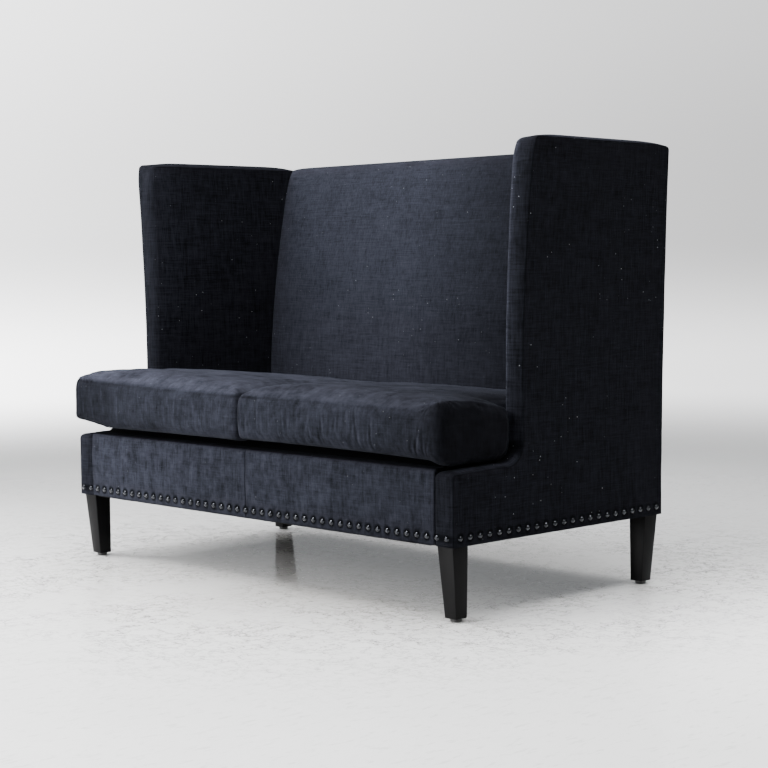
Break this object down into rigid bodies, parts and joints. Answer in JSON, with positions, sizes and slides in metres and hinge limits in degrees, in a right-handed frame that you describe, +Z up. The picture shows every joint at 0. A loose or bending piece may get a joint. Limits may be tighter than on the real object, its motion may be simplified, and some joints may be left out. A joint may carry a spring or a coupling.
{
  "type": "high back settee",
  "caption": "High back settee with tall flared wings, a nailed base on tapered legs and loose L-shaped seat cushions that lift off.",
  "frame": {"origin": "on the floor, under the middle of the settee's outer box", "axes": "+X along the width, to the right of someone who faces the front; -Y is the front; +Z is up"},
  "size_m": [1.5958, 0.8534, 1.163],
  "materials": {
    "velvet": "slubby cotton velvet, midnight blue",
    "lining": "plain dark platform cloth",
    "dust_cloth": "black fleece",
    "jute": "raw jute",
    "filling": "foam and wadding",
    "timber": "planed beech",
    "black_wood": "black satin lacquer",
    "glide_plastic": "black, matt",
    "nail_metal": "gunmetal, polished dome",
    "zip_plastic": "dark woven tape with plastic teeth",
    "steel": "bare steel"
  },
  "bodies": {
    "settee": {"front_rail": "timber", "rear_rail": "timber", "middle_stretcher": "timber", "corner_blocks": "timber", "left_bottom_rail": "timber", "left_front_stub": "timber", "left_arm_rail": "timber", "left_wing_post": "timber", "left_rear_post": "timber", "left_tuck_rail": "timber", "left_wing_top_rail": "timber", "right_bottom_rail": "timber", "right_front_stub": "timber", "right_arm_rail": "timber", "right_wing_post": "timber", "right_rear_post": "timber", "right_tuck_rail": "timber", "right_wing_top_rail": "timber", "back_top_rail": "timber", "back_bottom_rail": "timber", "back_stud": "timber", "back_belts": "jute", "seat_springs": "steel", "spring_clips": "steel", "tie_wires": "steel", "insulator_sheet": "jute", "deck_foam": "filling", "deck_cloth": "lining", "left_side_padding": "filling", "right_side_padding": "filling", "left_side_cover": "velvet", "right_side_cover": "velvet", "left_outside_panel": "velvet", "right_outside_panel": "velvet", "back_foam": "filling", "back_cover": "velvet", "outside_back": "velvet", "apron_padding": "filling", "apron_cover": "velvet", "dust_cover": "dust_cloth", "front_nails": "nail_metal", "left_nails": "nail_metal", "right_nails": "nail_metal", "front_left_leg": "black_wood", "front_right_leg": "black_wood", "rear_left_leg": "black_wood", "rear_right_leg": "black_wood", "leg_bolts": "steel", "glides": "glide_plastic"},
    "left_cushion": {"left_cushion_cover": "velvet", "left_cushion_core": "filling", "left_cushion_zip": "zip_plastic"},
    "right_cushion": {"right_cushion_cover": "velvet", "right_cushion_core": "filling", "right_cushion_zip": "zip_plastic"}
  },
  "joints": [
    {"name": "left_cushion_lift", "type": "slide", "parent": "settee", "child": "left_cushion", "axis": [0, 0, 1], "range_m": [0, 0.25]},
    {"name": "right_cushion_lift", "type": "slide", "parent": "settee", "child": "right_cushion", "axis": [0, 0, 1], "range_m": [0, 0.25]}
  ]
}
